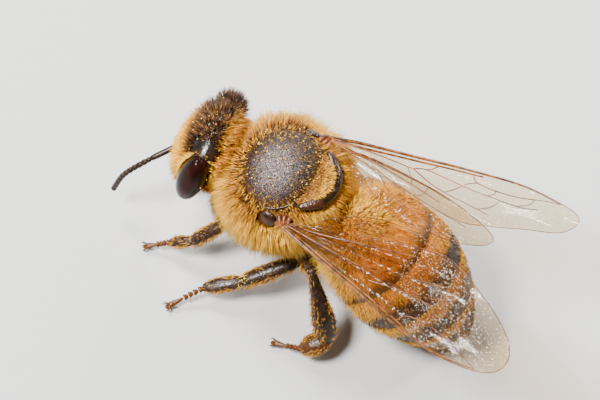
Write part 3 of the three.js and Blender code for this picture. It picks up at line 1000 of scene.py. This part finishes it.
def gather(roots, middles, tips, strength, size, chance):
    """Draws hairs together into locks of about size hairs."""
    leaders = chance.choice(len(roots), max(len(roots) // size, 1), replace=False)
    tree = kdtree.KDTree(len(leaders))
    for i, leader in enumerate(leaders):
        tree.insert(roots[leader], i)
    tree.balance()
    own = leaders[np.array([tree.find(root)[1] for root in roots])]
    pull = strength * chance.uniform(0.3, 1.0, (len(roots), 1))
    near = np.linalg.norm(roots - roots[own], axis=1, keepdims=True)
    pull = pull * bell(near, LOCK_REACH)
    tips += (tips[own] - tips) * pull
    middles += (middles[own] - middles) * pull * 0.35


def grow(place, normal, look, chance):
    """The middle and the tip of each hair, and its heading at the root."""
    count = len(place)
    rise = look["rise"][:, None]
    flow = look["flow"] - normal * (look["flow"] * normal).sum(axis=1, keepdims=True)
    heading = unit(normal * rise + unit(flow) * (1 - rise) + chance.normal(0, look["stray"], (count, 3)))
    guard = chance.random(count) < GUARD_HAIRS
    growth = np.where(guard, chance.uniform(1.0, 1.25, count), chance.uniform(0.55, 1.0, count))
    length = (look["length"] * growth)[:, None]
    middle = place + heading * length * 0.5
    onward = unit(heading + unit(flow) * look["bend"] + chance.normal(0, look["stray"] * 0.6, (count, 3)))
    return middle, middle + onward * length * 0.5, heading


def hair_points(root, middle, tip, heading, width):
    """The vertices of every hair, seven to a hair."""
    a = unit(np.cross(heading, np.array([0.31, 0.59, 0.74])))
    b = np.cross(heading, a)
    points = np.empty((len(root), HAIR_POINTS, 3))
    for k in range(RING):
        out = a * cos(2 * pi * k / RING) + b * sin(2 * pi * k / RING)
        points[:, k] = root + out * width[:, None]
        points[:, RING + k] = middle + out * width[:, None] * 0.85
    points[:, 2 * RING] = tip
    return points


def mesh_of(name, points, faces):
    """A mesh from rows of points and rows of faces."""
    mesh = bpy.data.meshes.new(name)
    mesh.vertices.add(len(points))
    mesh.vertices.foreach_set("co", points.ravel())
    mesh.loops.add(faces.size)
    mesh.loops.foreach_set("vertex_index", faces.ravel())
    mesh.polygons.add(len(faces))
    mesh.polygons.foreach_set("loop_start", np.arange(0, faces.size, faces.shape[1]))
    mesh.update(calc_edges=True)
    return mesh


def joined(name, points, faces, matrix, material, unwrap, numbers):
    """One piece of many like small shapes. points holds one row of vertices for each shape."""
    count, corners = points.shape[:2]
    placed = moved(points.reshape(-1, 3), matrix)
    placed[:, 2] = np.maximum(placed[:, 2], 0)
    order = (faces[None] + np.arange(count)[:, None, None] * corners).reshape(-1, 3)
    mesh = mesh_of(name, placed, order)
    mesh.uv_layers.new(name="OFBake").data.foreach_set("uv", unwrap.reshape(-1, 2)[order.ravel()].ravel())
    for key, values in numbers.items():
        layer = mesh.attributes.new(key, "FLOAT", "POINT")
        layer.data.foreach_set("value", values.ravel().astype(np.float32))
    finished(name, mesh, material)


def coat(name, place, normal, look, wrap, matrix, seed, lock, strength):
    """Hair over a skin, in pieces, with lock hairs to a lock.

    look gives each hair's length, rise, flow and colours, and wrap the place of its patch.
    """
    chance = np.random.default_rng(seed)
    middle, tip, heading = grow(place, normal, look, chance)
    gather(place, middle, tip, strength, lock, chance)
    width = look["width"] * chance.choice([0.75, 1.0, 1.6], len(place), p=[0.4, 0.4, 0.2])
    points = hair_points(place, middle, tip, heading, width)
    luck = chance.random(len(place))
    order = np.argsort(place[:, 0], kind="stable")
    pieces = -(-len(place) // HAIRS_PER_PIECE)
    patch = np.stack([ACROSS, ALONG], axis=1) * PATCH
    shades = {"tone": look["tone"], "dark": look["dark"], "luck": luck}
    for number, part in enumerate(np.array_split(order, pieces), 1):
        unwrap = wrap[part][:, None, :] * (1 - PATCH) + patch[None]
        numbers = {"along": np.tile(ALONG, (len(part), 1))}
        for key, values in shades.items():
            numbers[key] = np.tile(values[part][:, None], (1, HAIR_POINTS))
        title = f"{name}_{number}" if pieces > 1 else name
        joined(title, points[part], HAIR_FACES, matrix, FUR, unwrap, numbers)


def wrap_round(p, low, high):
    """An unwrap of a skin round its y axis: the turn across, and the way along upwards."""
    turn = np.arctan2(p[:, 0], p[:, 2]) / (2 * pi) + 0.5
    return np.stack([turn, np.clip((p[:, 1] - low) / (high - low), 0, 1)], axis=1)


def from_eye(p):
    """How far points are from the nearer eye: below 1 inside it, and 1 on it."""
    nearest = np.full(len(p), np.inf)
    for word, side in SIDES.items():
        lean = np.array(Matrix.Rotation(radians(EYE["lean"]) * side, 3, "Y"))
        q = (p - np.array(EYE_PLACE[word])) @ lean.T
        nearest = np.minimum(nearest, np.sqrt(((q / EYE["size"]) ** 2).sum(axis=1)))
    return nearest


# The hairless spots of the left side, with the radius of each: the tegula's, and the wing root's.
HAIRLESS = (((1.68, 0.27, 0.72), 0.33), ((1.55, 0.8, 0.75), 0.3))
HINGE = (1.65, 0.45, 0.8)  # the middle of the left wings' hinges


def scutellum_frame(p):
    """Points of the thorax, in rows, in the scutellum's own frame."""
    return moved(p, SCUTELLUM.inverted())


def inside_shell(p):
    """True for points of the thorax under the scutellum's edge, the tegulae, the wing roots or the neck."""
    q = scutellum_frame(p)
    from_rim = np.hypot(q[:, 1] - crescent(q[:, 0]), q[:, 2] - RIM_LIFT)
    hidden = (np.abs(q[:, 0]) < HORN_REACH) & (from_rim < 0.25)
    for side in SIDES.values():
        for (x, y, z), radius in HAIRLESS:
            hidden |= np.linalg.norm(p - (x * side, y, z), axis=1) < radius
    return hidden | (np.hypot(p[:, 0], p[:, 2]) < 0.45)


def thorax_coat(skin, count, seed):
    """Long upright hair all round, short and sparse on the disc."""
    chance = np.random.default_rng(seed)

    def density(p):
        return 1 - 0.8 * disc_share(p) - 0.12 * down_and_sheen_share(p)

    place, normal = scatter(skin, THORAX, count, density, chance)
    kept = ~inside_shell(place) & (place[:, 1] > -1.8)
    place, normal = place[kept], normal[kept]
    disc = disc_share(place)
    reach = disc_reach(place[:, 0], place[:, 1])
    upper = smooth(0.0, 0.9, place[:, 2])
    rim = upper * (1 - smooth(1.0, 1.35, reach))
    brown = upper * bell(reach - 1.0, 0.21)
    within = scutellum_frame(place)
    behind = (within[:, 1] < crescent(within[:, 0])) & (place[:, 1] > 1.05) & (within[:, 2] > -0.45)
    x, y, z = HINGE
    hinges = (np.linalg.norm(place - (x * side, y, z), axis=1) for side in SIDES.values())
    clear = smooth(0.3, 0.8, np.minimum(*hinges))
    under = smooth(-0.5, -1.3, place[:, 2])
    length = (0.9 - 0.42 * rim - 0.2 * under) * (0.3 + 0.7 * clear) * (1 - 0.7 * behind)
    tone = 0.1 + 0.8 * rim * (1 - disc) + chance.normal(0, 0.12, len(place))
    dark = (disc + brown) * chance.choice([0.05, 0.85], len(place), p=[0.4, 0.6]) + 0.1 * under
    look = {
        "length": length * (1 - disc) + 0.12 * disc,
        "rise": 0.86 - 0.42 * disc - 0.2 * under - 0.35 * behind,
        "flow": unit(place * (1, 1, 0)) * 0.8 + (0, 0.5, -0.3),
        "bend": 0.18,
        "stray": 0.1,
        "width": 0.0125 - 0.0065 * disc,
        "tone": np.clip(tone, 0, 1),
        "dark": np.clip(dark, 0, 1),
    }
    coat("thorax_coat", place, normal, look, wrap_round(place, -2, 2), THORAX, seed, 12, 0.6)


def lash_share(p):
    """1 on the narrow rim of pale hair round an eye."""
    return smooth(1.3, 1.15, from_eye(p))


def bare_share(p):
    """1 on the worn patch between the left eye and the crown, and on the bare cheeks behind the eyes."""
    wide = np.abs(p[:, 0])
    worn = smooth(0.42, 0.58, p[:, 0]) * smooth(0.85, 1.0, p[:, 2]) * smooth(-0.62, -0.48, p[:, 1])
    cheek = smooth(0.95, 1.1, wide) * smooth(-0.2, 0.0, p[:, 1]) * smooth(-1.0, -0.6, p[:, 2])
    return np.maximum(worn, cheek) * (1 - smooth(0.32, 0.45, p[:, 1]))


def head_coat(skin, far_eye, count, eye_count, seed):
    """Golden fringe on the face, dark fuzz on the crown and the far eye, brown fuzz behind, and painted shade
    on the hair of the bee's right side.
    """
    chance = np.random.default_rng(seed)

    def density(p):
        crown = smooth(0.7, 1.2, p[:, 2]) * (1 - smooth(0.1, 0.4, p[:, 1]))
        shield = smooth(-0.3, -0.6, p[:, 2]) * smooth(0.75, 0.5, np.abs(p[:, 0]))
        shield = shield * smooth(-0.5, -0.7, p[:, 1])
        covered = (1 - 0.25 * crown) * (1 - 0.97 * bare_share(p)) * (1 - 0.7 * shield)
        return covered * (1 + 2.5 * lash_share(p))

    place, normal = scatter(skin, HEAD, count, density, chance)
    kept = (from_eye(place) > 1.03) & (place[:, 2] > -1.45)
    fuzz = scatter(far_eye, HEAD, eye_count, lambda p: smooth(0.25, 0.75, p[:, 2]), chance)
    place, normal = np.concatenate([place[kept], fuzz[0]]), np.concatenate([normal[kept], fuzz[1]])
    on_eye = np.arange(len(place)) >= np.count_nonzero(kept)
    lash = lash_share(place) * ~on_eye
    crown = np.maximum(smooth(0.4, 0.95, place[:, 2]) * smooth(0.3, 0.0, place[:, 1]), on_eye)
    behind = smooth(0.15, 0.35, place[:, 1])
    shield = smooth(-0.3, -0.6, place[:, 2]) * smooth(-0.6, -0.8, place[:, 1])
    far = smooth(-0.3, -0.9, place[:, 0])
    over = (far * crown)[:, None]
    length = 0.4 - 0.16 * shield + 0.1 * behind - 0.06 * crown + 0.2 * far * crown
    tone = 0.42 + 0.45 * behind + 0.4 * crown - 0.6 * lash + chance.normal(0, 0.15, len(place))
    # The 0.3 * far term is painted shade: it darkens the hair on the bee's right side, away from the camera.
    dark = crown * chance.choice([0.6, 1.0], len(place), p=[0.2, 0.8]) + 0.3 * far - lash
    downwards = np.tile([0.0, 0.1, -1.0], (len(place), 1))
    look = {
        "length": length * (1 - 0.6 * lash - 0.35 * on_eye),
        "rise": 0.85 - 0.3 * shield - 0.25 * far * crown,
        "flow": downwards + behind[:, None] * [0, 0, 1.4] + over * [-3, 0, 1],
        "bend": 0.15,
        "stray": 0.09,
        "width": 0.0105 - 0.003 * on_eye,
        "tone": np.clip(tone, 0, 1),
        "dark": np.clip(dark, 0, 1),
    }
    coat("head_coat", place, normal, look, wrap_round(place, -1.2, 0.8), HEAD, seed, 6, 0.3)


PLATE_HAIR = (0.2, 0.17, 0.2, 0.17, 0.15, 0.11)  # share of the abdomen's hair on each plate


def felt_share(plate, within):
    """1 on the dense felt at the front of the rear three plates."""
    return smooth(2.5, 3, plate) * (1 - smooth(0.3, 0.45, within))


def abdomen_coat(skins, count, seed):
    """Hair swept back: long at the front and underneath, short on the dark bands, felted before them."""
    chance = np.random.default_rng(seed)

    def density(p):
        share, turn = share_and_turn(p)
        plate, within = plate_and_share(share)
        bald = smooth(0.5, 1, plate) * (1 - smooth(1, 1.5, plate)) * (1 - smooth(1.0, 1.6, np.abs(turn)))
        return (1 - 0.6 * band_share(p)) * (1 - 0.6 * bald) * (1 + 1.5 * felt_share(plate, within))

    counts = [int(count * part) for part in PLATE_HAIR]
    found = [scatter(skin, ABDOMEN, number, density, chance) for skin, number in zip(skins, counts)]
    place, normal = (np.concatenate(rows) for rows in zip(*found))
    share, turn = share_and_turn(place)
    plate, within = plate_and_share(share)
    dark = band_share(place)
    front = 1 - smooth(0.05, 0.3, share)
    side = smooth(1.3, 2.0, np.abs(turn))
    felt = felt_share(plate, within)
    stipple = (plate < 3) * smooth(0.3, 0.8, within) * (1 - side) * (1 - front)
    stipple = stipple * chance.choice([0, 1], len(place))
    tone = 0.22 - 0.2 * front - 0.25 * felt + chance.normal(0, 0.15, len(place))
    dark_hair = (dark + 0.4 * stipple) * chance.choice([0.3, 1.0], len(place), p=[0.15, 0.85])
    look = {
        "length": 0.22 + 0.38 * front + 0.2 * side - 0.05 * smooth(0.5, 0.75, share) - 0.06 * dark,
        "rise": 0.42 + 0.3 * front + 0.12 * side - 0.22 * felt,
        "flow": np.tile([0.0, 1.0, -0.35], (len(place), 1)),
        "bend": 0.3,
        "stray": 0.1,
        "width": np.full(len(place), FINE_HAIR),
        "tone": np.clip(tone, 0, 1),
        "dark": np.clip(dark_hair, 0, 1),
    }
    wrap = np.stack([turn / (2 * pi) + 0.5, np.clip(share, 0, 1)], axis=1)
    coat("abdomen_coat", place, normal, look, wrap, ABDOMEN, seed, 5, 0.35)


LEG_HAIRS = {"coxa": 260, "femur": 480, "tibia": 700, "metatarsus": 520}
LEG_NAP = {"coxa": 1.0, "femur": 0.1, "tibia": 0.05, "metatarsus": 0.12}  # how thick hair is off the fringes
LEG_FRINGE = {"coxa": 0.2, "femur": 0.34, "tibia": 0.32, "metatarsus": 0.1}  # how much longer it is on them


def leg_coat(hairy, seed):
    """Golden hair on the legs: short along them, with a long fringe under the femur and the tibia."""
    chance = np.random.default_rng(seed)
    rows = []
    for cell, (part, made, start, end) in enumerate(hairy):
        axis = np.array((end - start).normalized())
        wide = unit(np.cross([0.1, 0.2, 1.0], axis))
        thin = np.cross(wide, axis)

        def density(p):
            out = p - np.array(start)
            under = smooth(0.0, 0.15, -(out @ thin) * np.sign(thin[2]))
            edge = smooth(0.12, 0.22, np.abs(out @ wide))
            return LEG_NAP[part] + np.minimum(under + edge, 1)

        place, normal = scatter(made, BEE, LEG_HAIRS[part], density, chance)
        out = place - np.array(start)
        along = (out @ axis) / (end - start).length
        below = smooth(0.1, 0.8, -normal[:, 2])
        length = 0.13 + LEG_FRINGE[part] * below * smooth(-0.1, 0.2, along)
        turn = np.arctan2(out @ wide, out @ thin) / (2 * pi) + 0.5
        wrap = np.stack([(cell + turn * 0.94) / len(hairy), np.clip(along, 0, 1) * 0.99], axis=1)
        rows.append((place, normal, np.tile(axis, (len(place), 1)), length, wrap))
    place, normal, flow, length, wrap = (np.concatenate(kind) for kind in zip(*rows))
    count = len(place)
    look = {
        "length": length,
        "rise": np.full(count, 0.45),
        "flow": flow,
        "bend": 0.25,
        "stray": 0.12,
        "width": np.full(count, FINE_HAIR),
        "tone": np.clip(chance.normal(0.4, 0.2, count), 0, 1),
        "dark": chance.choice([0.0, 0.6], count, p=[0.75, 0.25]),
    }
    coat("leg_coat", place, normal, look, wrap, BEE, seed, 4, 0.25)


def add_pollen(name, places, matrix, seed):
    """One piece of pollen grains, one at each place."""
    chance = np.random.default_rng(seed)
    bm = bmesh.new()
    for place in places:
        made = bmesh.ops.create_icosphere(bm, subdivisions=1, radius=chance.uniform(0.013, 0.024))["verts"]
        bmesh.ops.translate(bm, verts=made, vec=Vector(place))
    piece(name, bm, matrix, POLLEN)


def pollen_places(made, matrix, density, count, lift, seed):
    """Places of grains caught in a coat, up to lift over the skin."""
    chance = np.random.default_rng(seed)
    place, normal = scatter(made, matrix, count, density, chance)
    return place + normal * chance.uniform(0.3, 1.0, (count, 1)) * lift


# ---------------------------------------------------------------- assembly

thorax = make_thorax()
make_scutellum()
head = make_head()
make_tongue()
eyes = {}
for word in SIDES:
    make_tegula(word)
    eyes[word] = make_eye(word)
    make_jaw(word)
    make_feeler(word)
plates = [make_plate(number) for number in range(1, len(PLATE_ENDS))]
for word in SIDES:
    make_wing(f"forewing_{word}", FOREWING, FOREWING_VEINS)
    make_wing(f"hindwing_{word}", HINDWING, HINDWING_VEINS)
hairy = []
for leg, joints in LEGS.items():
    hairy += make_leg(leg, joints)
thorax_coat(thorax, count=46000, seed=1)
head_coat(head, eyes["right"], count=18500, eye_count=900, seed=2)
abdomen_coat(plates, count=44000, seed=3)
leg_coat(hairy, seed=4)
HEEL = LEGS["mid_left"][2]
on_heel = np.random.default_rng(9).normal(HEEL, (0.13, 0.13, 0.1), (46, 3)) + (0.02, -0.1, 0.17)
on_thorax = pollen_places(thorax, THORAX, lambda p: 0.1 + disc_share(p), count=130, lift=0.2, seed=5)
on_head = pollen_places(head, HEAD, lambda p: 0.1 + smooth(0, 1, p[:, 2]), count=60, lift=0.3, seed=7)
add_pollen("leg_pollen", on_heel, BEE, seed=10)
add_pollen("thorax_pollen", on_thorax, THORAX, seed=6)
add_pollen("head_pollen", on_head, HEAD, seed=8)

# ---------------------------------------------------------------- floor, light and camera

# The camera's axes in the bee's frame, and where it looks.
RIGHT = Vector((-0.443, 0.873, 0.203))
UP = Vector((-0.826, -0.486, 0.285))
BACK = Vector((0.348, -0.042, 0.937))
LOOK_AT = Vector((0, 0, 4.15)) + RIGHT * 0.567 - UP * 0.533
FRAME_WIDTH = 20.0
LENS = 350
SENSOR = 36
FLOOR_REACH = 0.6  # metres from the floor's middle to each side
# Each lamp: the way to it from the bee, its distance and size in metres, and its power.
LAMPS = {
    "key": ((0.28, -0.49, 0.83), 0.22, 0.055, 1.6),
    "side": ((-0.278, -0.652, 0.715), 0.22, 0.06, 1.0),
    "back": (UP * 0.93 + RIGHT * 0.33 - BACK * 0.05, 0.25, 0.04, 0.5),
    "glint": ((-0.8, 0.457, 0.425), 0.22, 0.03, 0.45),
}


def make_floor():
    """A pale matt floor."""
    bm = bmesh.new()
    bmesh.ops.create_grid(bm, x_segments=1, y_segments=1, size=FLOOR_REACH)
    mesh = bpy.data.meshes.new("floor")
    bm.to_mesh(mesh)
    bm.free()
    mesh.materials.append(Finish("floor").surface(Base_Color=(0.5, 0.492, 0.478), Roughness=0.75))
    add_object("floor", mesh)


def make_lamp(name, direction, distance, size, power):
    """A soft round lamp that faces the bee."""
    lamp = bpy.data.lights.new(name, "AREA")
    lamp.shape = "DISK"
    lamp.size = size
    lamp.energy = power
    made = add_object(name, lamp)
    towards = Vector(direction).normalized()
    made.location = BEE @ LOOK_AT + towards * distance
    made.rotation_euler = towards.to_track_quat("Z", "Y").to_euler()


def make_world():
    """A dim, slightly warm light from all round."""
    world = bpy.data.worlds.new("studio")
    world.use_nodes = True
    background = world.node_tree.nodes["Background"]
    background.inputs["Color"].default_value = (0.95, 0.93, 0.9, 1)
    background.inputs["Strength"].default_value = 0.16
    bpy.context.scene.world = world


def make_camera():
    """A long lens above the bee and a little to its left."""
    data = bpy.data.cameras.new("camera")
    data.lens = LENS
    data.sensor_width = SENSOR
    data.clip_start = 0.01
    data.clip_end = 10
    made = add_object("camera", data)
    distance = FRAME_WIDTH * MM * LENS / SENSOR
    turn = Matrix((RIGHT.normalized(), UP.normalized(), BACK.normalized())).transposed().to_4x4()
    made.matrix_world = Matrix.Translation((BEE @ LOOK_AT) + BACK.normalized() * distance) @ turn
    bpy.context.scene.camera = made


make_floor()
for name, lamp in LAMPS.items():
    make_lamp(name, *lamp)
make_world()
make_camera()
